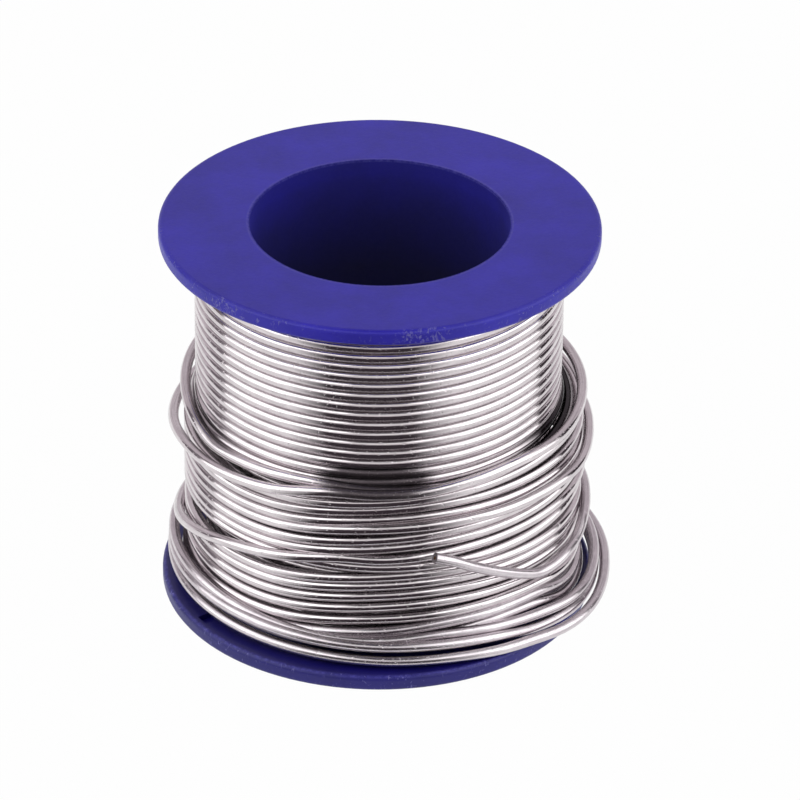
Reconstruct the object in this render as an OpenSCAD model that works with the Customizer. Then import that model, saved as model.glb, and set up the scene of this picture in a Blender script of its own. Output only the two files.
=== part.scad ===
// Solder wire spool. A one-piece moulded spool with a wide open bore carries
// cored solder wire in four layers. The upper outer turns lie tight. The lower
// ones have sprung loose: they touch the winding at the front and stand off it
// elsewhere. One of them has strayed: it climbs over its neighbours behind and
// comes down over them at the front left. The bottom loops lie over the lower
// rim, and the last one climbs over the slack turns and ends in a cut tip. The
// origin is on the bore's axis in the face that the spool stands on, and +Z runs
// up the bore.

/* [Spool] */
// Diameter of both flanges
flange_d = 40; // [38:0.5:60]
// Height over both flanges
spool_h = 37.5; // [34:0.5:50]
// Thickness of each flange
flange_t = 1.5; // [1.2:0.1:2.5]
// Diameter of the open bore
bore_d = 23.6; // [16:0.2:25]
// Wall of the barrel between the bore and the wire
barrel_wall = 1.4; // [1:0.1:2.2]
// Rounding of the outer edges of the flanges
rim_round = 0.4; // [0.1:0.05:0.5]

/* [Lead-in groove] */
// Width of the groove that leads the wire's first end in to the barrel
groove_w = 1.3; // [1.1:0.1:2]
// Depth of the groove in the lower flange
groove_depth = 0.5; // [0.2:0.1:0.8]
// Flange left whole between the groove and the rim
groove_land = 0.7; // [0.5:0.1:2]
// Direction of the groove round the axis, from +X
groove_az = 214; // [0:1:359]

/* [Wire] */
// Diameter of the solder wire
wire_d = 1; // [0.8:0.05:1.05]
// Diameter of the flux core inside the wire
flux_d = 0.36; // [0.2:0.02:0.5]
// Depth of the flux behind the face of the cut
flux_recess = 0.05; // [0.02:0.01:0.2]
// Length of the straight cut tip
tip_l = 1.5; // [1.2:0.1:3]
// Packed layers of wire under the outer turns
layers_below = 3; // [2:1:4]
// Rise from one outer turn to the next
turn_rise = 1.5; // [1.5:0.05:1.8]
// Gap between a flange and the turn next to it
end_gap = 0.1; // [0.05:0.05:0.4]

/* [Slack turns] */
// Height of the first slack turn
slack_top = 21.5; // [18:0.5:26]
// How far the slack turns stand off the tight ones: right, back, left, front
slack_off = [2.2, 2, 1.2, 0]; // [0:0.1:3]
// Height of the first bottom loop
bottom_top = 6.5; // [5.5:0.5:9]
// How far outside the lower rim the lowest loop lies: right, back, left, front
rim_reach = [2.5, 0.6, -0.6, -1.1]; // [-2:0.1:3]
// How much further one turn bows out on the left
left_bow = 1.2; // [0:0.1:2]
// Height of the turn that bows out on the left
left_bow_z = 17.5; // [15:0.5:20]

/* [Stray turn] */
// Height on the left at which one slack turn leaves its place
stray_z = 8.6; // [8:0.1:12]
// How far it climbs over the turns above it
stray_rise = 7; // [4:0.5:8]

/* [Loose end] */
// Angle that the loose end sweeps after the last bottom loop
end_sweep = 164; // [150:1:200]
// How high the loose end climbs behind the spool
end_climb = 5.7; // [4:0.1:7]
// How high the loose end climbs at the front, up to its tip
end_lift = 5.6; // [3:0.1:7]
// How far out it swings where it crosses the bottom loops
end_swing = 1.3; // [1:0.1:2]

/* [Hidden] */

round_fn = 128;          // facets of a large round shape
tip_fn = 48;             // facets of the cut tip
corner_steps = 4;        // steps of a rounded corner
rings = 24;              // rings of the tube in one turn
sides = 6;               // sides of the tube
last_az = 90;            // the last bottom loop ends behind the spool
spring_in = 0.75;        // part of a turn in which the wire springs loose
bow_reach = 0.22;        // part of a turn over which a bow fades out
cut_over = 1;            // how far a cut runs past the face that it opens
pile_gap = 0.5;          // gap under wire that crosses other turns
stray_out = [0.03, 0.14]; // turns past the left in which the stray turn comes out
stray_climb = [0.11, 0.5]; // turns in which it climbs
stray_fall = [0.67, 1.06]; // turns in which it falls
stray_in = [1.06, 1.2];  // turns in which it goes in again
swing_at = 0.22;         // share of the loose end at which it swings furthest
swing_reach = 0.3;       // share of the loose end over which the swing fades out
climb_share = 0.5;       // share of the loose end that climbs behind the spool
lift_from = 0.72;        // share of the loose end at which the lift begins

flange_r = flange_d / 2;
bore_r = bore_d / 2;
barrel_r = bore_r + barrel_wall;
channel_h = spool_h - 2 * flange_t;
wire_r = wire_d / 2;
packed_r = barrel_r + layers_below * wire_d * sin(60);
turn_r = (packed_r + wire_r * cos(180 / sides)) / cos(180 / rings);

top_z = spool_h - flange_t - wire_r - end_gap;
low_z = flange_t + wire_r + end_gap;
slack_u = (top_z - slack_top) / turn_rise;
bottom_u = (top_z - bottom_top) / turn_rise;
last_u = (top_z - low_z) / turn_rise;
end_u = last_u + end_sweep / 360;

// Steps from 0 to 1 that start and end level, and that only start level
function eased(x) = let (t = min(max(x, 0), 1)) t * t * (3 - 2 * t);
function lifted(x) = let (t = min(max(x, 0), 1)) t * t * (3 - t) / 2;
// A hump of height 1 at 0 that fades out at -1 and 1
function hump(x) = abs(x) < 1 ? pow(cos(90 * x), 2) : 0;

// A smooth closed curve through four values: right, back, left and front
function round4(v, az) =
    (v[0] + v[1] + v[2] + v[3]) / 4
    + (v[0] - v[2]) / 2 * cos(az)
    + (v[1] - v[3]) / 2 * sin(az)
    + (v[0] - v[1] + v[2] - v[3]) / 4 * cos(2 * az);

// The wire is followed by u, its turns from the start at the top
function az(u) = last_az + 360 * (last_u - u);
function end_share(u) = (u - last_u) / (end_u - last_u);
function bottom_share(u) = min(max((u - bottom_u) / (last_u - bottom_u), 0), 1);

// The turn number at direction side_az whose height is nearest z
function turn_at(z, side_az) =
    let (u = last_u - (side_az - last_az) / 360)
    u + round((top_z - z) / turn_rise - u);
left_bow_u = turn_at(left_bow_z, 180);
stray_u = turn_at(stray_z, 180);

// A step from 0 to 1 over a span of turns, counted from where the stray turn starts
function stray_step(u, span) = eased((u - stray_u - span[0]) / (span[1] - span[0]));

function height(u) =
    top_z - turn_rise * min(u, last_u)
    + stray_rise * (stray_step(u, stray_climb) - stray_step(u, stray_fall))
    + end_climb * eased(end_share(u) / climb_share)
    + end_lift * lifted((end_share(u) - lift_from) / (1 - lift_from));
function slack_r(u) =
    turn_r + eased((u - slack_u) / spring_in) * round4(slack_off, az(u))
    + left_bow * hump((u - left_bow_u) / bow_reach)
    + (wire_d + pile_gap) * (stray_step(u, stray_out) - stray_step(u, stray_in));
function lowest_r(u) = flange_r + round4(rim_reach, az(u));
function wound_r(u) = slack_r(u) + bottom_share(u) * (lowest_r(u) - slack_r(u));
function over_r(u) =
    let (t = end_share(u), over_slack = slack_r(u) + wire_d + pile_gap)
    wound_r(u) + eased(t / climb_share) * (over_slack - wound_r(u))
    + end_swing * hump((t - swing_at) / swing_reach)
    + (wire_d + pile_gap) * eased((t - lift_from) / (1 - lift_from));
function radius(u) = u > last_u ? over_r(u) : wound_r(u);
function place(u) = [radius(u) * cos(az(u)), radius(u) * sin(az(u)), height(u)];

// Directions along the wire, and out from the axis square to it
function unit(v) = v / norm(v);
function heading(u) = unit(place(u + 0.001) - place(u - 0.001));
function outward(p, t) = let (r = unit([p.x, p.y, 0])) unit(r - (r * t) * t);

// The points of a stretch of wire, with a straight run of one diameter at each end
function stretch(u0, u1) =
    let (n = ceil((u1 - u0) * rings))
    concat(
        [place(u0), place(u0) + wire_d * heading(u0)],
        [for (i = [1 : n - 1]) place(u0 + (u1 - u0) * i / n)],
        [place(u1) - wire_d * heading(u1), place(u1)]);

// The direction of the wire at point i of a stretch
function along(p, i) =
    i == 0 ? unit(p[1] - p[0])
    : i == len(p) - 1 ? unit(p[i] - p[i - 1])
    : unit(unit(p[i + 1] - p[i]) + unit(p[i] - p[i - 1]));

function ring(p, t) =
    let (out = outward(p, t), up = cross(t, out))
    [for (k = [0 : sides - 1])
        let (a = (k + 0.5) * 360 / sides)
        p + wire_r * (cos(a) * out + sin(a) * up)];

// A tube of triangles along a list of points
module tube(p) {
    last = (len(p) - 1) * sides;
    polyhedron(
        points = [for (i = [0 : len(p) - 1]) each ring(p[i], along(p, i))],
        faces = concat(
            [for (i = [0 : len(p) - 2], k = [0 : sides - 1])
                let (a = i * sides + k, b = i * sides + (k + 1) % sides)
                each [[a, a + sides, b + sides], [a, b + sides, b]]],
            [for (k = [1 : sides - 2]) [0, k, k + 1]],
            [for (k = [1 : sides - 2]) [last, last + k + 1, last + k]]));
}

// The least gap of the wire to itself, from every point to every segment of it
// that lies at least half a turn further on
function to_segment(p, a, b) =
    let (ab = b - a, t = min(max((p - a) * ab / (ab * ab), 0), 1))
    norm(p - a - t * ab);
function least_gap(u0, u1) =
    let (n = ceil((u1 - u0) * rings), p = [for (i = [0 : n]) place(u0 + (u1 - u0) * i / n)])
    min([for (i = [0 : n]) for (j = [i + rings / 2 : 1 : n - 1])
        to_segment(p[i], p[j], p[j + 1])]) - wire_d;

// A rounded corner from angle a0 about [x, y]
function corner(x, y, a0) =
    [for (i = [0 : corner_steps])
        let (a = a0 + 90 * i / corner_steps)
        [x + rim_round * cos(a), y + rim_round * sin(a)]];

// The rim of a flange whose lower face is at height z
function rim(z) = concat(
    corner(flange_r - rim_round, z + rim_round, -90),
    corner(flange_r - rim_round, z + flange_t - rim_round, 0));

module lead_in_groove() {
    rotate([0, 0, groove_az])
        translate([barrel_r, -groove_w / 2, flange_t - groove_depth])
            cube([flange_r - groove_land - barrel_r, groove_w, groove_depth + cut_over]);
}

module spool() {
    color("midnightblue")
    difference() {
        rotate_extrude($fn = round_fn)
            polygon(concat(
                [[bore_r, 0]],
                rim(0),
                [[barrel_r, flange_t], [barrel_r, spool_h - flange_t]],
                rim(spool_h - flange_t),
                [[bore_r, spool_h]]));
        lead_in_groove();
    }
}

module packed_layers() {
    color("gainsboro")
    translate([0, 0, flange_t])
        rotate_extrude($fn = round_fn)
            translate([barrel_r, 0])
                square([packed_r - barrel_r, channel_h]);
}

module tight_turns() {
    color("silver") tube(stretch(0, slack_u));
}

module slack_turns() {
    color("silver") tube(stretch(slack_u, bottom_u));
}

module bottom_loops() {
    color("silver") tube(stretch(bottom_u, last_u));
}

module loose_end() {
    color("silver") tube(stretch(last_u, end_u));
}

// Turns +Z to the direction of the wire at its end, and moves it there
module at_the_end() {
    t = heading(end_u);
    translate(place(end_u)) rotate([0, acos(t.z), atan2(t.y, t.x)]) children();
}

module cut_tip() {
    color("silver")
    at_the_end()
        rotate_extrude($fn = tip_fn)
            translate([flux_d / 2, 0])
                square([wire_r - flux_d / 2, tip_l]);
}

module flux_core() {
    color("goldenrod")
    at_the_end()
        cylinder(h = tip_l - flux_recess, d = flux_d, $fn = tip_fn);
}

echo(turns = end_u, least_gap_of_the_wire_to_itself = least_gap(0, end_u));

spool();
packed_layers();
tight_turns();
slack_turns();
bottom_loops();
loose_end();
cut_tip();
flux_core();
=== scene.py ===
# %% [markdown]
# # A spool of solder wire
# Thin solder for electronics is sold on a small moulded spool. The wire is soft
# and springy enough to jump loose once the spool has been used a few times, and
# that is what gives this one its looks: neat turns above, slack ones below, and
# a cut end that has wandered over the rest. We load the measured model first and
# dress it, piece by piece, without moving anything.

# %% The measured model
import math

import bpy
import numpy as np
from mathutils import Matrix, Vector


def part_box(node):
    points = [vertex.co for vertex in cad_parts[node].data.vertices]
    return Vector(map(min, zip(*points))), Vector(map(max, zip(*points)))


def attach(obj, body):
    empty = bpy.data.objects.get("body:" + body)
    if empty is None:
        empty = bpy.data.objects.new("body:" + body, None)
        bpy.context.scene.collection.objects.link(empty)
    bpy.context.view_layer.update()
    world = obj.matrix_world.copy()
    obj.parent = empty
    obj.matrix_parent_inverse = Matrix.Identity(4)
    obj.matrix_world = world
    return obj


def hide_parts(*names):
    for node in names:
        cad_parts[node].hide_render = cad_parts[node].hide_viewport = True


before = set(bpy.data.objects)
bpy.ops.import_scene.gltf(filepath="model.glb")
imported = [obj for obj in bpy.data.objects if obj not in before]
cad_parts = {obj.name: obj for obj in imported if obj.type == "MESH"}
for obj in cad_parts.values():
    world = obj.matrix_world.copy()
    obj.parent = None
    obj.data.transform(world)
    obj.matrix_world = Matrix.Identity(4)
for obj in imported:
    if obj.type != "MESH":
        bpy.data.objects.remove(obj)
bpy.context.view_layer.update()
scene = bpy.context.scene
MM = 0.001
BODY = "root"
print("nodes:", sorted(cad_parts))

# %% [markdown]
# The sizes of the spool are read back from the model, so that every piece made
# here fits it. A box can't tell the bore, so its radius is given. Lengths below
# are in millimetres until a mesh is made.

# %% Sizes read from the model
_, spool_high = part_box("spool")
packed_low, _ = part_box("packed_layers")
FLANGE_R = spool_high.x / MM
SPOOL_H = spool_high.z / MM
FLANGE_T = packed_low.z / MM
BORE_R = 11.8
print(f"flange radius {FLANGE_R:.2f}, height {SPOOL_H:.2f}, flange thickness {FLANGE_T:.2f} mm")

# %% [markdown]
# ## The camera
# The camera stands half a metre off with a long lens, so the spool keeps nearly
# parallel sides. It looks down by about thirty degrees. The lens is shifted a
# little because the spool doesn't stand in the middle of the picture.

# %% Camera
AIM = Vector((0, 0, 18)) * MM
CAMERA_FAR = 480 * MM
LOOK_DOWN = math.radians(30.735)
ROLL = math.radians(0.573)
# Focal length and picture width in pixels, sensor width in millimetres
FOCAL_PX, PICTURE_PX, SENSOR = 5219.5, 800, 36.0
# Where the point that the camera aims at lies in the picture, from the upper left corner
AXIS_PX = (378.15, 407.35)

back = Vector((0, -math.cos(LOOK_DOWN), math.sin(LOOK_DOWN)))
level_right = Vector((1, 0, 0))
level_up = Vector((0, math.sin(LOOK_DOWN), math.cos(LOOK_DOWN)))
right = level_right * math.cos(ROLL) + level_up * math.sin(ROLL)
up = level_up * math.cos(ROLL) - level_right * math.sin(ROLL)
turned = Matrix((right, up, back)).transposed().to_4x4()
camera = bpy.data.objects.new("camera", bpy.data.cameras.new("camera"))
scene.collection.objects.link(camera)
camera.matrix_world = Matrix.Translation(AIM + back * CAMERA_FAR) @ turned
camera.data.sensor_width = SENSOR
camera.data.lens = FOCAL_PX / PICTURE_PX * SENSOR
camera.data.shift_x = 0.5 - AXIS_PX[0] / PICTURE_PX
camera.data.shift_y = AXIS_PX[1] / PICTURE_PX - 0.5
scene.camera = camera
scene.view_settings.view_transform = "Standard"
print(f"lens {camera.data.lens:.1f} mm, shift {camera.data.shift_x:.4f}, {camera.data.shift_y:.4f}")

# %% [markdown]
# ## Colours and nodes
# Colours are written as the hex values that a paint chart gives. Cycles works
# with linear light, so one function turns them. One more function adds a shader
# node with its settings and links, and each finish below is built with it.

# %% Colours in linear light


def linear(hex_colour):
    """A hex colour such as #4A48A6 as linear RGBA."""
    values = [int(hex_colour[i:i + 2], 16) / 255 for i in (1, 3, 5)]
    return [v / 12.92 if v <= 0.04045 else ((v + 0.055) / 1.055) ** 2.4 for v in values] + [1.0]


print(f"mid grey #808080 sends back {linear('#808080')[0]:.2f} of the light")

# %% Nodes, materials and ramps


def add(tree, kind, links=None, values=None, **settings):
    """Adds a node; links is {input: output socket of another node}, values is {input: value}."""
    node = tree.nodes.new(kind)
    for name, value in settings.items():
        setattr(node, name, value)
    for name, value in (values or {}).items():
        node.inputs[name].default_value = value
    for name, socket in (links or {}).items():
        tree.links.new(socket, node.inputs[name])
    return node


def new_material(name):
    """A material with an empty tree and its output node."""
    material = bpy.data.materials.new(name)
    material.use_nodes = True
    material.node_tree.nodes.clear()
    output = material.node_tree.nodes.new("ShaderNodeOutputMaterial")
    return material, material.node_tree, output


def ramp(tree, source, stops):
    """A colour ramp through stops, a list of (place, hex colour or grey)."""
    node = add(tree, "ShaderNodeValToRGB", links={"Fac": source})
    elements = node.color_ramp.elements
    while len(elements) < len(stops):
        elements.new(0.5)
    for element, (place, colour) in zip(elements, stops):
        element.position = place
        element.color = linear(colour) if isinstance(colour, str) else (colour, colour, colour, 1)
    return node


print("materials that came with the model:", len(bpy.data.materials))

# %% [markdown]
# Some marks lie at one place only. These two measure where a point is, so that a
# finish can change there.

# %% Where a point is


def from_axis(tree, place):
    """Distance from the spool's axis, in metres."""
    flat = add(tree, "ShaderNodeVectorMath", operation="MULTIPLY",
               links={0: place.outputs["Object"]}, values={1: (1, 1, 0)})
    flat = add(tree, "ShaderNodeVectorMath", operation="LENGTH", links={0: flat.outputs["Vector"]})
    return flat.outputs["Value"]


def from_spot(tree, place, centre, reach):
    """0 at centre and 1 as far out as reach on each axis; both are given in millimetres."""
    offset = add(tree, "ShaderNodeVectorMath", operation="SUBTRACT",
                 links={0: place.outputs["Object"]}, values={1: Vector(centre) * MM})
    offset = add(tree, "ShaderNodeVectorMath", operation="DIVIDE",
                 links={0: offset.outputs["Vector"]}, values={1: Vector(reach) * MM})
    offset = add(tree, "ShaderNodeVectorMath", operation="LENGTH", links={0: offset.outputs["Vector"]})
    return offset.outputs["Value"]


# %% [markdown]
# ## The route of the wire
# All the outer turns are one wire. We follow it by its turn number: a whole
# number is where the wire passes the front, and a quarter of a turn later it
# passes the left, then the back, then the right. Between such points, radius and
# height run on one smooth curve, so the wire never has a corner.

# %% Smooth curves through points


def smooth(knots, t):
    """Values at t of a smooth curve through knots, a list of (place, value)."""
    place, value = np.array(knots, float).T
    slope = np.gradient(value, place)
    i = np.clip(np.searchsorted(place, t) - 1, 0, len(place) - 2)
    width = place[i + 1] - place[i]
    s = (t - place[i]) / width
    start, end = value[i], value[i + 1]
    return (
        start * (2 * s ** 3 - 3 * s ** 2 + 1)
        + end * (3 * s ** 2 - 2 * s ** 3)
        + width * slope[i] * (s ** 3 - 2 * s ** 2 + s)
        + width * slope[i + 1] * (s ** 3 - s ** 2)
    )


print(f"halfway between knots at 1 and 3 the curve passes {smooth([(0, 1), (1, 3)], 0.5):.1f}")

# %% [markdown]
# The tight turns lie a wire's width apart. They nestle in the grooves of the
# layer below, which is why a layer adds less than a full diameter. The slack
# turns touch that layer at the front only. Their heights at the front are close
# to one diameter apart, but not quite, as in any winding that has sprung.

# %% Tight and slack turns
WIRE_D = 0.98
WIRE_R = WIRE_D / 2
PITCH = 0.987
TURN_R = 16.3
TIGHT_TURNS = 15
LAST_TIGHT_Z = 21.88

# Radius and height at the front of the slack turns, in the order of the wire
SLACK_FRONT = [
    (16.3, 20.87), (16.3, 19.9), (17.15, 19.5), (18.1, 19.65), (16.8, 18.05), (16.3, 17.02),
    (16.3, 15.96), (16.9, 15.35), (16.3, 13.85), (16.3, 12.9), (16.3, 10.93), (16.3, 9.88),
    (16.3, 8.97), (16.3, 7.88), (16.6, 11.9), (16.3, 6.7), (16.3, 5.4), (16.8, 4.33),
    (16.4, 2.7), (17.1, 3.5), (18.0, 3.45), (18.4, 2.24),
]
LEFT, BACK, RIGHT = 0.25, 0.5, 0.75
# Radius of an ordinary slack turn there
LEFT_R, BACK_R, RIGHT_R = 17.4, 18.4, 18.45
# How far it sags soon after the front, on the left and behind
SAG_AT, SAG_R, SAG = 0.095, 16.8, 0.7
LEFT_SAG, BACK_SAG = 0.78, 0.35
# On the right it lies this far below its next pass of the front
RIGHT_SAG = 0.1
print(f"{TIGHT_TURNS} tight turns above z {LAST_TIGHT_Z}, {len(SLACK_FRONT)} slack turns below")

# %% [markdown]
# Some turns have a path of their own. The third and fourth slack turns lie over
# the others on a slant, and leave a black crevice above them. The seventh bows
# out on the right. The stray turn has climbed over four of its neighbours behind
# and comes down over them at the front left. The bottom loops lie out over the
# rim.

# %% Turns with a path of their own
STRAY = 14
NO_SAG = (0, 1, 2, 3, STRAY, 18, 19, 20, 21)
own_path = {
    # The wire springs loose from the last tight turn on
    -1 + BACK: (16.35, 21.4), -1 + RIGHT: (16.35, 21.15),
    0 + LEFT: (16.4, 20.6), 0 + BACK: (16.7, 20.4), 0 + RIGHT: (16.6, 20.2),
    1.095: (16.35, 19.75), 1 + LEFT: (16.8, 19.6), 1 + BACK: (17.4, 19.6), 1 + RIGHT: (17.4, 19.5),
    # The two that lie over the others on a slant
    2.044: (17.2, 19.85), 2.125: (17.4, 19.6), 2.168: (17.5, 19.5), 2.197: (17.6, 20.1),
    2 + LEFT: (17.7, 20.9), 2 + BACK: (18.3, 21.0), 2 + RIGHT: (18.7, 20.6),
    2.826: (18.55, 20.3), 2.887: (18.35, 20.45), 2.924: (18.2, 20.1), 2.965: (18.1, 19.7),
    3.036: (18.15, 19.7), 3.085: (18.3, 18.85), 3.15: (18.6, 18.3), 3.2: (18.75, 18.1),
    3 + LEFT: (18.84, 17.3), 3 + BACK: (18.7, 18.2), 3 + RIGHT: (18.4, 19.2),
    4 + RIGHT: (18.45, 17.4), 5 + RIGHT: (18.45, 16.0),
    # The bow on the right, and the turns that make room for it
    6 + BACK: (18.6, 15.9), 6 + RIGHT: (19.4, 16.4), 6.803: (19.3, 15.9), 6.844: (18.85, 16.0),
    6.879: (18.2, 15.75), 6.919: (17.6, 15.7),
    7 + SAG_AT: (16.8, 14.3), 7 + LEFT: (17.4, 14.1), 7 + RIGHT: (18.4, 15.05), 8 + RIGHT: (18.45, 13.9),
    9 + LEFT: (17.4, 12.1), 9 + BACK: (18.4, 12.5), 9 + RIGHT: (18.4, 11.55),
    10 + SAG_AT: (16.8, 11.3), 10 + LEFT: (17.4, 11.2),
    # The stray turn climbs behind, and comes down over its neighbours from the front to the left
    STRAY - 1 + LEFT: (17.45, 7.1), STRAY - 1 + 0.37: (19.3, 8.2), STRAY - 1 + BACK: (19.4, 10.0),
    STRAY - 1 + 0.63: (19.3, 11.6), STRAY - 1 + RIGHT: (18.7, 12.3), STRAY - 0.086: (16.7, 12.2),
    STRAY + 0.028: (16.6, 11.95), STRAY + 0.086: (17.5, 11.4), STRAY + 0.133: (18.15, 10.85),
    STRAY + 0.176: (18.4, 9.7), STRAY + 0.21: (18.45, 8.6), STRAY + LEFT: (18.43, 7.35),
    STRAY + BACK: (18.4, 7.4),
    # The lowest slack turns crowd together on the right
    15 + RIGHT: (18.5, 4.9), 15.81: (18.35, 5.15), 15.856: (17.9, 5.8), 15.93: (16.9, 5.75),
    16 + RIGHT: (18.6, 3.3), 16.806: (18.6, 3.75), 16.856: (18.2, 5.05), 16.894: (17.7, 5.05),
    16.944: (17.0, 4.8),
    17 + LEFT: (17.6, 3.9), 17 + BACK: (18.3, 3.3), 17 + RIGHT: (18.8, 2.1), 17.817: (18.65, 2.75),
    17.856: (18.2, 4.0), 17.9: (17.4, 4.0), 17.944: (16.6, 3.4),
    # The bottom loops
    18 + LEFT: (17.7, 2.8), 18 + BACK: (19.0, 3.6), 18 + RIGHT: (20.3, 3.05), 18.825: (20.0, 3.2),
    18.864: (19.0, 3.5), 18.894: (18.2, 3.55), 18.947: (17.3, 3.75),
    19 + LEFT: (18.9, 5.0), 19 + BACK: (19.9, 2.7), 19 + RIGHT: (20.3, 2.05), 19.819: (20.1, 2.05),
    19.867: (19.3, 2.4), 19.9: (18.75, 2.9), 19.947: (18.2, 3.25),
    20 + LEFT: (18.95, 4.0), 20 + BACK: (20.6, 2.1), 20 + RIGHT: (21.3, 2.1), 20.853: (21.05, 2.1),
    20.875: (20.35, 2.15), 20.9: (19.8, 2.15), 20.933: (19.1, 2.2),
    21 + LEFT: (19.0, 3.0), 21.375: (20.0, 4.1),
}
widest = max(radius for radius, _ in own_path.values())
print(f"{len(own_path)} points of their own; the widest reaches {widest} mm")

# %% [markdown]
# The loose end leaves the last bottom loop behind the spool, climbs over the
# slack turns on the right and rises at the front to its cut tip. Its points are
# given by direction, in degrees round the axis, with the right at 0, the back at
# 90 and the front at 270.

# %% The loose end
TAIL_START = len(SLACK_FRONT) - 1 + BACK
# Direction, radius and height of each point
tail_points = [
    (90, 20.5, 3.7), (60, 20.8, 4.4), (30, 20.1, 7.0), (15, 19.5, 8.7), (2, 19.3, 9.1), (-12, 19.35, 8.6),
    (-19, 19.35, 8.0), (-27, 19.3, 7.8), (-33, 19.2, 7.7), (-39, 19.0, 7.8), (-46, 18.8, 8.65),
    (-53, 18.65, 9.7), (-63, 18.7, 11.4), (-69, 18.8, 12.5),
]
TIP_AZ, TIP_PLACE = -74, (18.9, 13.2)
BACK_AZ, FRONT_AZ = 90, 270


def turn_at(azimuth):
    """The turn number at which the loose end passes a direction."""
    return TAIL_START + (BACK_AZ - azimuth) / 360


print(f"the loose end runs from turn {TAIL_START} to {turn_at(TIP_AZ):.2f}")

# %% The knots of the whole wire


def wire_knots():
    """{turn number: (radius, height)} of the outer wire, slack turns counted from 0."""
    knots = {-t: (TURN_R, LAST_TIGHT_Z + PITCH * (t - 1)) for t in np.arange(1, TIGHT_TURNS + 0.01, 0.25)}
    for turn, here in enumerate(SLACK_FRONT):
        following = SLACK_FRONT[min(turn + 1, len(SLACK_FRONT) - 1)]
        knots[float(turn)] = here
        knots[turn + SAG_AT] = (SAG_R, here[1] - SAG)
        knots[turn + LEFT] = (LEFT_R, here[1] - LEFT_SAG)
        knots[turn + BACK] = (BACK_R, here[1] - BACK_SAG)
        knots[turn + RIGHT] = (RIGHT_R, following[1] - RIGHT_SAG)
    knots = {t: v for t, v in knots.items() if t <= TAIL_START}
    for turn in NO_SAG:
        del knots[turn + SAG_AT]
    knots.update(own_path)
    knots.update({turn_at(azimuth): (radius, height) for azimuth, radius, height in tail_points})
    knots[turn_at(TIP_AZ)] = TIP_PLACE
    return dict(sorted(knots.items()))


def wire_points(first, last, per_turn=120):
    """Points of the outer wire between two turn numbers, in millimetres."""
    t = np.linspace(first, last, int(round((last - first) * per_turn)) + 1)
    knots = wire_knots()
    radius = smooth([(k, v[0]) for k, v in knots.items()], t)
    height = smooth([(k, v[1]) for k, v in knots.items()], t)
    azimuth = np.radians(FRONT_AZ - 360 * t)
    return np.stack([radius * np.cos(azimuth), radius * np.sin(azimuth), height], 1)


WIRE_START, TIP_END = -TIGHT_TURNS + LEFT, turn_at(TIP_AZ)
all_points = wire_points(WIRE_START, TIP_END)
wire_length = np.linalg.norm(np.diff(all_points, axis=0), axis=1).sum()
print(f"outer wire: {TIP_END - WIRE_START:.2f} turns, {wire_length / 1000:.2f} m")

# %% [markdown]
# ## A tube along a route
# Each stretch of wire is a tube of rings. A ring stands square to the wire, with
# its first point facing out from the spool's axis, so the tube doesn't twist. We
# keep two numbers on the mesh for the finish: how far along the wire a point is,
# and where it is round the wire, as a cosine and a sine so that there is no seam.

# %% Tube builder
SIDES = 24
# Edges turn sharp past this angle, which leaves only those of the cut ends
SHARP = math.radians(60)


def tube(name, points, radius=WIRE_R, start_along=0.0, sides=SIDES):
    """A mesh tube along points, in millimetres, with flat ends; also gives how far along it ends."""
    heading = np.gradient(points, axis=0)
    heading /= np.linalg.norm(heading, axis=1, keepdims=True)
    outward = points * (1, 1, 0)
    outward -= (outward * heading).sum(1, keepdims=True) * heading
    outward /= np.linalg.norm(outward, axis=1, keepdims=True)
    upward = np.cross(heading, outward)
    angle = np.arange(sides) * 2 * math.pi / sides
    ring = np.cos(angle)[None, :, None] * outward[:, None] + np.sin(angle)[None, :, None] * upward[:, None]
    vertices = (points[:, None] + radius * ring).reshape(-1, 3)
    count = len(points)
    faces = [
        (i * sides + k, (i + 1) * sides + k, (i + 1) * sides + (k + 1) % sides, i * sides + (k + 1) % sides)
        for i in range(count - 1)
        for k in range(sides)
    ]
    caps = [tuple(range(sides)), tuple(reversed(range((count - 1) * sides, count * sides)))]
    mesh = bpy.data.meshes.new(name)
    mesh.from_pydata((vertices * MM).tolist(), [], faces + caps)
    mesh.polygons.foreach_set("use_smooth", [True] * len(faces) + [False] * len(caps))
    mesh.set_sharp_from_angle(angle=SHARP)
    steps = np.linalg.norm(np.diff(points, axis=0), axis=1)
    along = start_along + np.concatenate([[0], np.cumsum(steps)])
    drawn = np.stack([
        np.repeat(along, sides), np.tile(np.cos(angle), count), np.tile(np.sin(angle), count)], 1)
    mesh.attributes.new("drawn", "FLOAT_VECTOR", "POINT").data.foreach_set("vector", drawn.ravel())
    mesh.update()
    piece = bpy.data.objects.new(name, mesh)
    scene.collection.objects.link(piece)
    return piece, along[-1]


def dress(piece, material, slot, *nodes):
    """Gives a piece its finish and its place in the model."""
    piece.data.materials.clear()
    piece.data.materials.append(material)
    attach(piece, BODY)
    if nodes:
        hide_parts(*nodes)
    print(f"{piece.name}: {len(piece.data.polygons)} faces of {material.name}")


print(f"a tube has {SIDES} sides unless it is told otherwise")

# %% [markdown]
# ## Solder
# Solder wire is an alloy of tin and lead, drawn through a die. The die leaves a
# bright skin with fine lines along the wire, so light spreads across the wire
# and stays sharp along it. Lead makes the grey a little warm and lilac. Handling
# leaves dull spots and tiny dents.

# %% Lines from the die, and painted shade between the turns
# Streaks in a millimetre along the wire, and in a radius of it both ways across.
# Real lines are hundredths of a millimetre wide; these are coarser, to show
STREAKS = (0.25, 6.0, 6.0)


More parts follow.
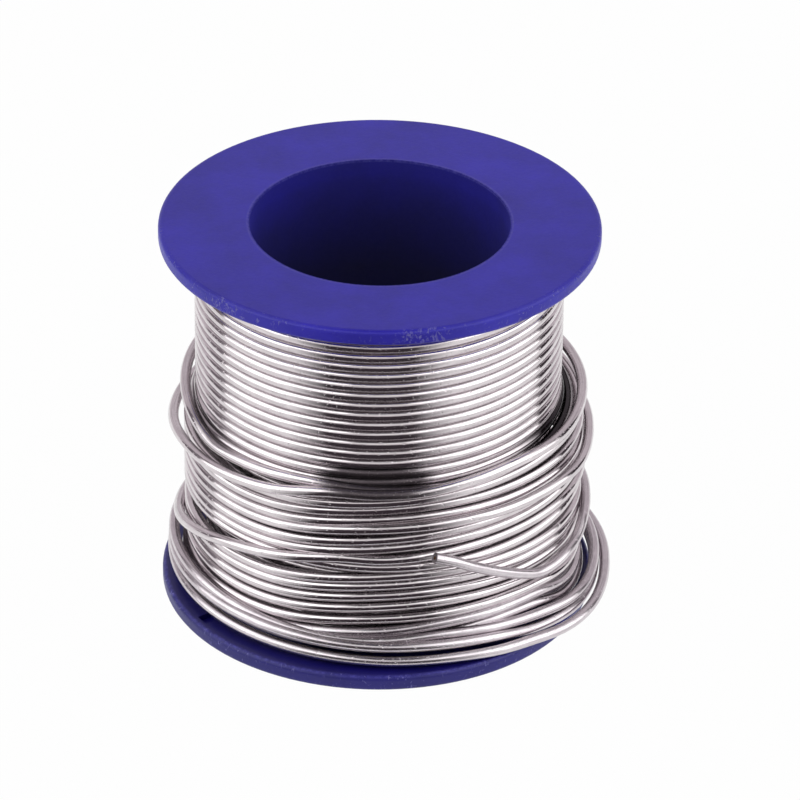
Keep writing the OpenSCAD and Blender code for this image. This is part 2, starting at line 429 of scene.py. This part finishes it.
def die_lines(tree, drawn):
    """Noise in long streaks along the wire."""
    stretched = add(tree, "ShaderNodeVectorMath", operation="MULTIPLY",
                    links={0: drawn.outputs["Vector"]}, values={1: STREAKS})
    lines = add(tree, "ShaderNodeTexNoise", links={"Vector": stretched.outputs["Vector"]},
                values={"Scale": 1.0, "Detail": 3.0, "Roughness": 0.6})
    return lines.outputs["Fac"]


def valley_shade(tree, drawn, valley_shade_factor):
    """White, and painted shade above and below, where a turn touches its neighbours."""
    section = add(tree, "ShaderNodeSeparateXYZ", links={"Vector": drawn.outputs["Vector"]})
    # The third number is the sine of the angle round the wire
    around = add(tree, "ShaderNodeMapRange", links={"Value": section.outputs["Z"]},
                 values={"From Min": -1.0, "From Max": 1.0})
    valley = ramp(tree, around.outputs["Result"], [(0.1, valley_shade_factor), (0.25, 1.0), (0.78, 1.0), (0.9, valley_shade_factor)])
    return valley.outputs["Color"]


print(f"a die line is {WIRE_R / STREAKS[1]:.2f} mm wide")

# %% [markdown]
# Two marks lie at a place of their own. Two turns at the front are made darker and
# duller in one patch, with a few pale specks in it. The crevice above the two
# crossing turns is darkened with painted shade, at its right end and a little at its left.

# %% A darker, duller patch and its pale specks
DARK_PATCH_PLACE, DARK_PATCH_REACH = (-0.2, -16.5, 20.45), (5.4, 4.0, 1.3)
DARK_PATCH_COLOUR, SPECK_COLOUR = "#5E575B", "#C8BEC0"
SPECK_SIZE = 0.14


def dark_patch_mask(tree, away, lines):
    """1 in the dark patch and 0 outside it, with an edge that the die lines make ragged."""
    ragged = add(tree, "ShaderNodeMath", operation="MULTIPLY_ADD",
                 links={0: lines, 2: away}, values={1: 0.5})
    dark_patch = add(tree, "ShaderNodeMapRange", links={"Value": ragged.outputs[0]},
                values={"From Min": 1.05, "From Max": 1.35, "To Min": 1.0, "To Max": 0.0})
    return dark_patch.outputs["Result"]


def pale_specks(tree, place, away):
    """How much of a pale speck a point shows; most specks lie near the patch's edge."""
    specks = add(tree, "ShaderNodeTexNoise", links={"Vector": place.outputs["Object"]},
                 values={"Scale": 1 / (SPECK_SIZE * MM), "Detail": 2.0})
    specks = add(tree, "ShaderNodeMapRange", links={"Value": specks.outputs["Fac"]},
                 values={"From Min": 0.64, "From Max": 0.7})
    spread = ramp(tree, away, [(0.3, 0.1), (0.8, 0.7), (0.9, 0.7), (1.0, 0.0)])
    specks = add(tree, "ShaderNodeMath", operation="MULTIPLY",
                 links={0: specks.outputs["Result"], 1: spread.outputs["Color"]})
    return specks.outputs[0]


print(f"smear {2 * DARK_PATCH_REACH[0]} mm wide and {2 * DARK_PATCH_REACH[2]} mm high, crumbs {SPECK_SIZE} mm")

# %% Painted shade in the crevice
CREVICE_SHADE_COLOUR = "#2E2A2D"
# Where the painted shade starts and where it is full: distance from the axis, and
# height from below and from above, in millimetres
CREVICE_RADIUS = (18.0, 17.6)
CREVICE_BOTTOM, CREVICE_TOP = (18.8, 19.4), (20.95, 20.6)
# Share of the way from left to right, and how much shade is painted there
CREVICE_ACROSS = [(0.12, 0.4), (0.2, 0.0), (0.81, 0.0), (0.87, 1.0)]


def painted_crevice_shade(tree, place):
    """How much painted shade darkens the wire at a point."""
    apart = add(tree, "ShaderNodeSeparateXYZ", links={"Vector": place.outputs["Object"]})
    across = add(tree, "ShaderNodeMapRange", links={"Value": apart.outputs["X"]},
                 values={"From Min": -FLANGE_R * MM, "From Max": FLANGE_R * MM})
    crevice_shade = ramp(tree, across.outputs["Result"], CREVICE_ACROSS).outputs["Color"]
    radius, height = from_axis(tree, place), apart.outputs["Z"]
    for socket, (none_at, all_at) in (
            (radius, CREVICE_RADIUS), (height, CREVICE_BOTTOM), (height, CREVICE_TOP)):
        step = add(tree, "ShaderNodeMapRange", links={"Value": socket},
                   values={"From Min": none_at * MM, "From Max": all_at * MM})
        crevice_shade = add(tree, "ShaderNodeMath", operation="MULTIPLY",
                   links={0: crevice_shade, 1: step.outputs["Result"]}).outputs[0]
    return crevice_shade


print(f"dirt from z {CREVICE_BOTTOM[0]} to {CREVICE_TOP[0]} mm, within {CREVICE_RADIUS[0]} mm of the axis")

# %% Relief of the wire's skin
DENT_SIZE = 0.25
LINE_DEPTH = 0.008


def solder_skin(tree, place, lines, dent_depth):
    """The normal of wire with die lines and a few small dents."""
    pits = add(tree, "ShaderNodeTexNoise", links={"Vector": place.outputs["Object"]},
               values={"Scale": 1 / (DENT_SIZE * MM), "Detail": 1.0})
    pits = add(tree, "ShaderNodeMapRange", links={"Value": pits.outputs["Fac"]},
               values={"From Min": 0.66, "From Max": 0.74, "To Min": 0.0, "To Max": -1.0})
    skin = add(tree, "ShaderNodeBump", links={"Height": lines},
               values={"Strength": 0.3, "Distance": LINE_DEPTH * MM})
    skin = add(tree, "ShaderNodeBump",
               links={"Height": pits.outputs["Result"], "Normal": skin.outputs["Normal"]},
               values={"Strength": 1.0, "Distance": dent_depth * MM})
    return skin.outputs["Normal"]


print(f"dents {DENT_SIZE} mm across, die lines {LINE_DEPTH} mm deep")

# %% [markdown]
# Now the finish itself. Metal has no colour under its skin, so what we set is the
# tint of its reflections: bright alloy, a thin film of oxide over it, painted shade
# and a darker patch. Fresh wire is the smoothest; wire that fingers have pulled is duller.

# %% Drawn solder wire
FILM_SIZE = 3.0


def solder_drawn(name, bright, dull, roughness, dent_depth, valley_shade_factor=1.0):
    """Drawn solder; bright and dull are hex colours, dent_depth is in millimetres.

    valley_shade_factor is what is left of the colour where a turn touches its neighbours, as painted shade.
    """
    material, tree, output = new_material(name)
    drawn = add(tree, "ShaderNodeAttribute", attribute_name="drawn")
    place = add(tree, "ShaderNodeTexCoord")
    lines = die_lines(tree, drawn)
    away = from_spot(tree, place, DARK_PATCH_PLACE, DARK_PATCH_REACH)
    dark_patch = dark_patch_mask(tree, away, lines)
    # A film of oxide that comes and goes along the wire
    clouds = add(tree, "ShaderNodeTexNoise", links={"Vector": place.outputs["Object"]},
                 values={"Scale": 1 / (FILM_SIZE * MM), "Detail": 4.0, "Roughness": 0.7})
    film = ramp(tree, clouds.outputs["Fac"], [(0.35, bright), (0.7, dull)])
    # The colour darkens where the turns touch: painted shade
    colour = add(tree, "ShaderNodeVectorMath", operation="MULTIPLY",
                 links={0: film.outputs["Color"], 1: valley_shade(tree, drawn, valley_shade_factor)})
    # The die lines hold a little dirt too
    streaks = ramp(tree, lines, [(0.3, 0.72), (0.52, 1.0)])
    colour = add(tree, "ShaderNodeVectorMath", operation="MULTIPLY",
                 links={0: colour.outputs["Vector"], 1: streaks.outputs["Color"]}).outputs["Vector"]
    # Over the colour go the dark patch, the painted shade of the crevice and the pale specks
    for cover, tint in ((dark_patch, DARK_PATCH_COLOUR), (painted_crevice_shade(tree, place), CREVICE_SHADE_COLOUR),
                        (pale_specks(tree, place, away), SPECK_COLOUR)):
        colour = add(tree, "ShaderNodeMix", data_type="RGBA",
                     links={0: cover, 6: colour}, values={7: linear(tint)}).outputs[2]
    # Film makes the metal a little rougher, and the dark patch much more
    rough = add(tree, "ShaderNodeMapRange", links={"Value": clouds.outputs["Fac"]},
                values={"From Min": 0.35, "From Max": 0.7, "To Min": roughness, "To Max": roughness + 0.05})
    rough = add(tree, "ShaderNodeMath", operation="MULTIPLY_ADD",
                links={0: dark_patch, 2: rough.outputs["Result"]}, values={1: 0.25})
    tangent = add(tree, "ShaderNodeTangent", direction_type="RADIAL", axis="Z")
    shader = add(tree, "ShaderNodeBsdfPrincipled",
                 links={"Base Color": colour, "Roughness": rough.outputs[0],
                        "Normal": solder_skin(tree, place, lines, dent_depth),
                        "Tangent": tangent.outputs["Tangent"]},
                 values={"Metallic": 1.0, "Anisotropic": 0.4, "Anisotropic Rotation": 0.25})
    tree.links.new(shader.outputs["BSDF"], output.inputs["Surface"])
    return material


solder = solder_drawn("solder_tin_lead_drawn", "#DFD8DB", "#D1CACD", 0.1,
                      dent_depth=0.012, valley_shade_factor=0.88)
solder_loose = solder_drawn("solder_tin_lead_handled", "#DAD3D7", "#C9C1C6", 0.21,
                            dent_depth=0.015, valley_shade_factor=0.86)
# The layer below is a darker copy of the same solder: painted shade for wire that lies deep in the winding.
# It is also rougher and more dented.
solder_under_shaded = solder_drawn("solder_tin_lead_shaded_under", "#CDC6C9", "#B5AEB1", 0.15,
                            dent_depth=0.03, valley_shade_factor=0.8)
print(f"made {solder.name}, {solder_loose.name} and {solder_under_shaded.name}")

# %% [markdown]
# The outer wire is cut into stretches where its lie changes, and each stretch
# starts where the one before it ends.

# %% Tight turns, slack turns and bottom loops
# The turn numbers at which one stretch ends and the next begins
SPRUNG_AT, BOTTOM_AT = -0.5, 16.5
piece, along = tube("tight_wire", wire_points(WIRE_START, SPRUNG_AT))
dress(piece, solder, "solder", "tight_turns")
piece, along = tube("slack_wire", wire_points(SPRUNG_AT, BOTTOM_AT), start_along=along)
dress(piece, solder, "solder", "slack_turns")
piece, along = tube("bottom_wire", wire_points(BOTTOM_AT, TAIL_START), start_along=along)
dress(piece, solder_loose, "solder", "bottom_loops")

# %% [markdown]
# The cut end is a piece of its own, because cutters leave a flat face there, and
# that face shows the rosin core inside the wire.

# %% The loose end and its cut tip
TIP_LENGTH = 1.5
# Four times the usual number of points, so that the short tip has some of its own
end_points = wire_points(TAIL_START, TIP_END, per_turn=480)
# How much wire is still to come at each point
to_come = np.cumsum(np.linalg.norm(np.diff(end_points, axis=0), axis=1)[::-1])[::-1]
cut_from = int(np.argmax(to_come < TIP_LENGTH))
piece, along = tube("loose_wire", end_points[:cut_from + 1], start_along=along)
dress(piece, solder_loose, "solder", "loose_end")
tip_points = end_points[cut_from:]
piece, _ = tube("cut_tip_wire", tip_points, start_along=along, sides=32)
dress(piece, solder_loose, "solder", "cut_tip")
solder_cut = solder_drawn("solder_tin_lead_cut", "#8E868A", "#6E666A", 0.45, dent_depth=0.04)
piece.data.materials.append(solder_cut)
piece.data.polygons[-1].material_index = 1
print(f"the tip is {to_come[cut_from]:.2f} mm long, and its end face has {solder_cut.name}")

# %% [markdown]
# ## The layers below
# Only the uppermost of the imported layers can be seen, through the gaps between
# the slack turns. It is wound the other way, from flange to flange. The ones
# under it are out of sight, and aren't drawn.

# %% Packed layers
# Cut across, three wires that touch make a triangle with equal sides. Its height,
# and a little play, is how far this layer lies inside the outer one
NESTLED = WIRE_D * math.cos(math.radians(30))
PLAY = 0.02
LAYER_R = TURN_R - NESTLED - PLAY
LAYER_TURNS, LAYER_POINTS = 34, 72
t = np.linspace(0, LAYER_TURNS, LAYER_TURNS * LAYER_POINTS + 1)
climb = FLANGE_T + WIRE_R + (SPOOL_H - 2 * FLANGE_T - WIRE_D) * t / LAYER_TURNS
layer = np.stack([LAYER_R * np.cos(2 * math.pi * t), LAYER_R * np.sin(2 * math.pi * t), climb], 1)
# The layer wears the darker copy of the solder, as painted shade
packed, _ = tube("packed_wire", layer, sides=10)
dress(packed, solder_under_shaded, "solder", "packed_layers")
print(f"the layer lies {LAYER_R:.2f} mm from the axis, under outer turns at {TURN_R} mm")

# %% [markdown]
# ## The spool
# The spool is moulded in one piece from polystyrene, coloured right through. It
# comes out of a polished mould, so it is smooth and a little glossy, with faint
# waves where the plastic flowed and shrank. Its colour is fullest on the upper
# flange and nearly black down in the bore: painted shade, given by height. The
# bore wall gets a painted shade of its own.

# %% Colour of the moulded polystyrene
styrene, tree, output = new_material("polystyrene_moulded_navy")
place = add(tree, "ShaderNodeTexCoord")
parts = add(tree, "ShaderNodeSeparateXYZ", links={"Vector": place.outputs["Object"]})
FLOW_SIZE, GRAIN_SIZE = 6.0, 0.35
flow = add(tree, "ShaderNodeTexNoise", links={"Vector": place.outputs["Object"]},
           values={"Scale": 1 / (FLOW_SIZE * MM), "Detail": 5.0, "Roughness": 0.6})
grain = add(tree, "ShaderNodeTexNoise", links={"Vector": place.outputs["Object"]},
            values={"Scale": 1 / (GRAIN_SIZE * MM), "Detail": 4.0, "Roughness": 0.65})
colour = ramp(tree, flow.outputs["Fac"], [(0.3, "#271CB4"), (0.7, "#3428D4")])
# Share of the spool's height, and how much of the colour the painted shade leaves there
SHADES = [(0.0, 0.4), (0.034, 0.4), (0.04, 0.27), (0.7, 0.2), (0.86, 0.55), (0.945, 0.85), (0.962, 1.0)]
height = add(tree, "ShaderNodeMapRange", links={"Value": parts.outputs["Z"]},
             values={"From Max": SPOOL_H * MM})
shade = ramp(tree, height.outputs["Result"], SHADES)
colour = add(tree, "ShaderNodeVectorMath", operation="MULTIPLY",
             links={0: colour.outputs["Color"], 1: shade.outputs["Color"]})
print(f"flow marks {FLOW_SIZE} mm, grain {GRAIN_SIZE} mm")

# %% The painted shade of the bore
BORE_SHADE_TINT = "#9090C8"
radius = from_axis(tree, place)
bore_wall = add(tree, "ShaderNodeMapRange", links={"Value": radius},
                values={"From Min": (BORE_R + 0.15) * MM, "From Max": (BORE_R + 0.03) * MM})
# The bore wall is made darker and greyer: painted shade
tint = ramp(tree, bore_wall.outputs["Result"], [(0.0, 1.0), (1.0, BORE_SHADE_TINT)])
colour = add(tree, "ShaderNodeVectorMath", operation="MULTIPLY",
             links={0: colour.outputs["Vector"], 1: tint.outputs["Color"]})
print(f"the bore's tint {BORE_SHADE_TINT} is full {BORE_R + 0.03:.2f} mm from the axis")

# %% [markdown]
# Spools knock together in a drawer, so their rims are the first to show wear.
# Short scratches run every way over them, in patches, and two harder knocks have
# roughened the upper rim. They belong to the finish, as pale and shallow marks;
# the moulded edge itself stays whole under them.

# %% Scratches and knocks on the rims
SCRATCH_SIZE, PATCH_SIZE = 0.4, 5.0
# Where each knock is, and how far it reaches along each axis
KNOCKS = [((3.8, -19.6, 36.7), (3.6, 1.6, 1.3)), ((-13.4, -14.8, 36.7), (2.4, 2.4, 1.1))]
on_rim = add(tree, "ShaderNodeMapRange", links={"Value": radius},
             values={"From Min": (FLANGE_R - 0.5) * MM, "From Max": (FLANGE_R - 0.2) * MM})
scratches = add(tree, "ShaderNodeVectorMath", operation="MULTIPLY",
                links={0: place.outputs["Object"]}, values={1: (1.0, 0.8, 0.7)})
scratches = add(tree, "ShaderNodeTexNoise", links={"Vector": scratches.outputs["Vector"]},
                values={"Scale": 1 / (SCRATCH_SIZE * MM), "Detail": 4.0,
                        "Roughness": 0.7, "Distortion": 1.2})
scuffed = scratches.outputs["Fac"]
for knock_place, knock_reach in KNOCKS:
    away = from_spot(tree, place, knock_place, knock_reach)
    knock = add(tree, "ShaderNodeMapRange", links={"Value": away},
                values={"From Min": 1.0, "From Max": 0.5, "To Max": 0.085})
    scuffed = add(tree, "ShaderNodeMath", operation="ADD",
                  links={0: scuffed, 1: knock.outputs["Result"]}).outputs[0]
scratches = add(tree, "ShaderNodeMapRange", links={"Value": scuffed},
                values={"From Min": 0.6, "From Max": 0.68})
scratches = add(tree, "ShaderNodeMath", operation="MULTIPLY",
                links={0: scratches.outputs["Result"], 1: on_rim.outputs["Result"]})
patches = add(tree, "ShaderNodeTexNoise", links={"Vector": place.outputs["Object"]},
              values={"Scale": 1 / (PATCH_SIZE * MM), "Detail": 1.0})
patches = ramp(tree, patches.outputs["Fac"], [(0.4, 0.35), (0.54, 1.0)])
scratches = add(tree, "ShaderNodeMath", operation="MULTIPLY",
                links={0: scratches.outputs[0], 1: patches.outputs["Color"]})
print(f"scratches {SCRATCH_SIZE} mm in patches of {PATCH_SIZE} mm, and {len(KNOCKS)} knocks")

# %% Worn edges and painted highlights
# The edges that face the winding are paler here and there: partly wear, partly a painted highlight
HALF_GAP = SPOOL_H / 2 - FLANGE_T
middle = add(tree, "ShaderNodeMath", operation="SUBTRACT",
             links={0: parts.outputs["Z"]}, values={1: SPOOL_H / 2 * MM})
middle = add(tree, "ShaderNodeMath", operation="ABSOLUTE", links={0: middle.outputs[0]})
edge = add(tree, "ShaderNodeMapRange", links={"Value": middle.outputs[0]},
           values={"From Min": (HALF_GAP + 0.22) * MM, "From Max": (HALF_GAP + 0.06) * MM})
edge = add(tree, "ShaderNodeMath", operation="MULTIPLY",
           links={0: edge.outputs["Result"], 1: on_rim.outputs["Result"]})
# So is the lip of the bore, where a thin skin of plastic was trimmed off; its pale line is partly a painted
# highlight
lip = add(tree, "ShaderNodeMapRange", links={"Value": radius},
          values={"From Min": (BORE_R + 0.32) * MM, "From Max": (BORE_R + 0.22) * MM})
top = add(tree, "ShaderNodeMapRange", links={"Value": parts.outputs["Z"]},
          values={"From Min": (SPOOL_H - 0.3) * MM, "From Max": (SPOOL_H - 0.15) * MM})
lip = add(tree, "ShaderNodeMath", operation="MULTIPLY",
          links={0: lip.outputs["Result"], 1: top.outputs["Result"]})
wear_and_highlight = add(tree, "ShaderNodeMath", operation="MAXIMUM", links={0: edge.outputs[0], 1: lip.outputs[0]})
uneven = ramp(tree, grain.outputs["Fac"], [(0.35, 0.1), (0.65, 0.75)])
wear_and_highlight = add(tree, "ShaderNodeMath", operation="MULTIPLY",
           links={0: wear_and_highlight.outputs[0], 1: uneven.outputs["Color"]})
print(f"worn at {HALF_GAP:.2f} mm above and below the middle, and at the bore's upper lip")

# %% The finish of the spool
# The pale edges are partly wear and partly a painted highlight
WEAR_AND_HIGHLIGHT_COLOUR, SCRATCH_COLOUR = "#5753C4", "#7A76D0"
colour = add(tree, "ShaderNodeMix", data_type="RGBA",
             links={0: wear_and_highlight.outputs[0], 6: colour.outputs["Vector"]}, values={7: linear(WEAR_AND_HIGHLIGHT_COLOUR)})
colour = add(tree, "ShaderNodeMix", data_type="RGBA",
             links={0: scratches.outputs[0], 6: colour.outputs[2]}, values={7: linear(SCRATCH_COLOUR)})
# The flanges have a soft gloss; the bore, where the mould's core pin sat, is dull
rough = add(tree, "ShaderNodeMapRange", links={"Value": grain.outputs["Fac"]},
            values={"To Min": 0.34, "To Max": 0.5})
rough = add(tree, "ShaderNodeMath", operation="MULTIPLY_ADD",
            links={0: bore_wall.outputs["Result"], 2: rough.outputs["Result"]}, values={1: 0.4})
# The grain and the scratches are hundredths of a millimetre deep
RELIEF = 0.03
bump = add(tree, "ShaderNodeBump", links={"Height": grain.outputs["Fac"]},
           values={"Strength": 0.5, "Distance": RELIEF * MM})
bump = add(tree, "ShaderNodeBump", invert=True,
           links={"Height": scratches.outputs[0], "Normal": bump.outputs["Normal"]},
           values={"Strength": 0.6, "Distance": RELIEF * MM})
shader = add(tree, "ShaderNodeBsdfPrincipled",
             links={"Base Color": colour.outputs[2], "Roughness": rough.outputs[0],
                    "Normal": bump.outputs["Normal"]},
             values={"IOR": 1.5})
tree.links.new(shader.outputs["BSDF"], output.inputs["Surface"])

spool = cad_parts["spool"]
spool.data.materials.clear()
spool.data.materials.append(styrene)
print(f"{styrene.name}: {len(tree.nodes)} nodes")

# %% [markdown]
# ## Rosin
# Rosin is tree resin, clear and amber, and it shines like hard toffee. The core
# lies deep in the wire, where no light comes through it, so it looks brown.

# %% Amber rosin in the cut face
SWIRL_SIZE = 0.15
rosin, tree, output = new_material("rosin_amber_cast")
place = add(tree, "ShaderNodeTexCoord")
swirl = add(tree, "ShaderNodeTexNoise", links={"Vector": place.outputs["Object"]},
            values={"Scale": 1 / (SWIRL_SIZE * MM), "Detail": 2.0})
colour = ramp(tree, swirl.outputs["Fac"], [(0.35, "#4A2E1C"), (0.7, "#74502C")])
shader = add(tree, "ShaderNodeBsdfPrincipled", links={"Base Color": colour.outputs["Color"]},
             values={"Roughness": 0.22, "IOR": 1.54})
tree.links.new(shader.outputs["BSDF"], output.inputs["Surface"])
print(f"{rosin.name}: swirls of {SWIRL_SIZE} mm")

# %% The core, just proud of the cut
CORE_R = 0.18
# From inside the wire to just past the cut face, in millimetres along the wire
CORE_START, CORE_END = -0.4, 0.01
end_heading = tip_points[-1] - tip_points[-2]
end_heading /= np.linalg.norm(end_heading)
core_points = tip_points[-1] + np.outer(np.linspace(CORE_START, CORE_END, 6), end_heading)
piece, _ = tube("rosin_core", core_points, radius=CORE_R)
dress(piece, rosin, "flux", "flux_core")

# %% [markdown]
# ## Studio
# Bright metal shows what stands around it more than its own colour. So the
# studio is a white tent with a softbox on either side. The camera and the
# reflections find the tent white, but as a light it is dim, and the softboxes do
# the work.

# %% The tent


def seen_as_white(tree):
    """1 for the rays that should find plain white here, and 0 for the light that falls on things."""
    rays = add(tree, "ShaderNodeLightPath")
    seen = add(tree, "ShaderNodeMath", operation="MAXIMUM",
               links={0: rays.outputs["Is Camera Ray"], 1: rays.outputs["Is Glossy Ray"]})
    seen = add(tree, "ShaderNodeMath", operation="MAXIMUM",
               links={0: seen.outputs[0], 1: rays.outputs["Is Transmission Ray"]})
    return seen.outputs[0]


WHITE = (1, 1, 1, 1)
TENT_LIGHT = 0.06
world = bpy.data.worlds.new("tent")
scene.world = world
world.use_nodes = True
tree = world.node_tree
tree.nodes.clear()
output = tree.nodes.new("ShaderNodeOutputWorld")
dim = add(tree, "ShaderNodeBackground", values={"Color": WHITE, "Strength": TENT_LIGHT})
white = add(tree, "ShaderNodeBackground", values={"Color": WHITE, "Strength": 1.0})
mix = add(tree, "ShaderNodeMixShader",
          links={0: seen_as_white(tree), 1: dim.outputs[0], 2: white.outputs[0]})
tree.links.new(mix.outputs[0], output.inputs["Surface"])
print(f"{world.name}: strength 1 to the eye, {TENT_LIGHT} as a light")

# %% [markdown]
# The floor is white paper. Nearly all of what is seen of it is an even glow, so
# it runs into the tent without a line, and only a trace of shadow is left. For
# the light it is plain paper, and throws some of it back up at the spool.

# %% Paper
FIBRE_SIZE = 0.6
GLOW_SHARE = 0.985
paper, tree, output = new_material("paper_white_matte")
place = add(tree, "ShaderNodeTexCoord")
fibres = add(tree, "ShaderNodeTexNoise", links={"Vector": place.outputs["Object"]},
             values={"Scale": 1 / (FIBRE_SIZE * MM), "Detail": 3.0})
tone = ramp(tree, fibres.outputs["Fac"], [(0.3, "#E9E9E9"), (0.7, "#F1F1F1")])
lit = add(tree, "ShaderNodeBsdfDiffuse", links={"Color": tone.outputs["Color"]})
glow = add(tree, "ShaderNodeEmission", values={"Color": WHITE, "Strength": 1.0})
share = add(tree, "ShaderNodeMath", operation="MULTIPLY", links={0: seen_as_white(tree)},
            values={1: GLOW_SHARE})
mix = add(tree, "ShaderNodeMixShader",
          links={0: share.outputs[0], 1: lit.outputs[0], 2: glow.outputs[0]})
tree.links.new(mix.outputs[0], output.inputs["Surface"])
print(f"{paper.name}: {GLOW_SHARE:.1%} of what is seen is glow")

# %% The floor
# Half its width, and its height a hair below the spool's foot, both in millimetres
FLOOR_HALF, FLOOR_Z = 3000, -0.02


def sheet(name, rows, material):
    """A stage mesh from rows of points in millimetres, with a face between neighbours."""
    count = len(rows[0])
    mesh = bpy.data.meshes.new(name)
    faces = [
        (row * count + i, row * count + i + 1, (row + 1) * count + i + 1, (row + 1) * count + i)
        for row in range(len(rows) - 1)
        for i in range(count - 1)
    ]
    mesh.from_pydata([tuple(v * MM for v in point) for row in rows for point in row], [], faces)
    mesh.materials.append(material)
    piece = bpy.data.objects.new(name, mesh)
    scene.collection.objects.link(piece)
    print(f"{name}: {len(faces)} faces of {material.name}")
    return piece


sheet("floor", [[(-FLOOR_HALF, -FLOOR_HALF, FLOOR_Z), (FLOOR_HALF, -FLOOR_HALF, FLOOR_Z)],
                [(-FLOOR_HALF, FLOOR_HALF, FLOOR_Z), (FLOOR_HALF, FLOOR_HALF, FLOOR_Z)]], paper)

# %% [markdown]
# A softbox is a lamp behind a big white cloth. These stand left and right, higher
# than the spool, and they are wider than they are far away, so the shadows under
# the turns stay soft.

# %% Softboxes


def direction(azimuth, elevation=0.0):
    """A unit vector; azimuth is in degrees from the camera's side, towards the right."""
    a, e = math.radians(azimuth), math.radians(elevation)
    return Vector((math.sin(a) * math.cos(e), -math.cos(a) * math.cos(e), math.sin(e)))


def softbox(name, azimuth, elevation, distance, width, height, radiance):
    """A rectangular lamp that faces the spool; lengths in metres."""
    lamp = bpy.data.objects.new(name, bpy.data.lights.new(name, "AREA"))
    lamp.data.shape = "RECTANGLE"
    lamp.data.size = width
    lamp.data.size_y = height
    lamp.data.energy = radiance * math.pi * width * height
    lamp.location = AIM + direction(azimuth, elevation) * distance
    lamp.rotation_mode = "QUATERNION"
    lamp.rotation_quaternion = direction(azimuth, elevation).to_track_quat("Z", "Y")
    scene.collection.objects.link(lamp)
    print(f"{name}: {width} by {height} m, {distance} m away, {lamp.data.energy:.2f} W")


# Metres from the spool, and degrees above it
SOFTBOX_FAR, SOFTBOX_UP = 0.6, 33
softbox("softbox_left", -69, SOFTBOX_UP, SOFTBOX_FAR, width=0.84, height=0.66, radiance=1.1)
softbox("softbox_right", 73, SOFTBOX_UP, SOFTBOX_FAR, width=0.9, height=0.66, radiance=1.1)

# %% [markdown]
# In a tent that is white all round, bright metal looks like white paper. Cards
# give it its darks, and only reflections see them. A dark one lies on the floor
# in front and turns up at its far edge, and a pale one stands well behind it;
# both fade to white at their two ends. A nearly black one hangs overhead. Behind
# the spool stand a slate one at the right, a pale grey one in the middle and a
# charcoal one at the left.

# %% Finish of the cards
FADE = 21


def card_material(name, colour, edges=None):
    """A card that reads the same under any lamp; past its edges, in degrees, it fades to white."""
    material, tree, output = new_material(name)
    place = add(tree, "ShaderNodeTexCoord")
    parts = add(tree, "ShaderNodeSeparateXYZ", links={"Vector": place.outputs["Object"]})
    forward = add(tree, "ShaderNodeMath", operation="MULTIPLY",
                  links={0: parts.outputs["Y"]}, values={1: -1.0})
    azimuth = add(tree, "ShaderNodeMath", operation="ARCTAN2",
                  links={0: parts.outputs["X"], 1: forward.outputs[0]})
    azimuth = add(tree, "ShaderNodeMapRange", links={"Value": azimuth.outputs[0]},
                  values={"From Min": -math.pi, "From Max": math.pi})
    # A plain card has one colour from end to end
    stops = [(0.0, colour), (1.0, colour)]
    if edges:
        left, right = edges
        stops = [(0.5 + (left - FADE) / 360, "#FFFFFF"), (0.5 + left / 360, colour),
                 (0.5 + right / 360, colour), (0.5 + (right + FADE) / 360, "#FFFFFF")]
    tone = ramp(tree, azimuth.outputs["Result"], stops)
    glow = add(tree, "ShaderNodeEmission", links={"Color": tone.outputs["Color"]})
    tree.links.new(glow.outputs[0], output.inputs["Surface"])
    return material


FRONT_EDGES = (-28, 20)
black_card = card_material("card_black_matte", "#2C262A")
front_card = card_material("card_dark_grey_matte", "#3C353A", edges=FRONT_EDGES)
tent_card = card_material("card_pale_grey_matte", "#DDD8DA", edges=FRONT_EDGES)
right_card = card_material("card_slate_matte", "#3A3238")
dark_card = card_material("card_charcoal_matte", "#7C747A")
grey_card = card_material("card_grey_matte", "#DAD2D7")
print(f"the front cards fade to white over {FADE} degrees past {FRONT_EDGES[0]} and {FRONT_EDGES[1]}")

# %% Cards for the reflections


def card(name, rows, material):
    """A sheet that only glossy rays find."""
    piece = sheet(name, rows, material)
    piece.visible_camera = False
    piece.visible_diffuse = False
    piece.visible_transmission = False
    piece.visible_shadow = False


def fan(low, high, radius, height, count=17):
    """Points of an arc round the spool between two azimuths."""
    return [tuple(direction(a) * radius + Vector((0, 0, height))) for a in np.linspace(low, high, count)]


# Azimuths in degrees; how far from the axis and how high in millimetres
FRONT = (-54, 46)
card("card_in_front", [fan(*FRONT, 24, 0.3), fan(*FRONT, 100, 0.3), fan(*FRONT, 100, 44)], front_card)
card("card_in_front_above", [fan(*FRONT, 600, 0), fan(*FRONT, 600, 400)], tent_card)
card("card_overhead", [[(-150, -400, 620), (150, -400, 620)],
                       [(-150, 300, 620), (150, 300, 620)]], black_card)
TALL_FAR, TALL_TOP = 700, 1300
for name, low, high, material in (("card_right", 108, 124, right_card),
                                  ("card_behind", 124, 238, grey_card),
                                  ("card_left", 238, 257, dark_card)):
    card(name, [fan(low, high, TALL_FAR, 0), fan(low, high, TALL_FAR, TALL_TOP)], material)
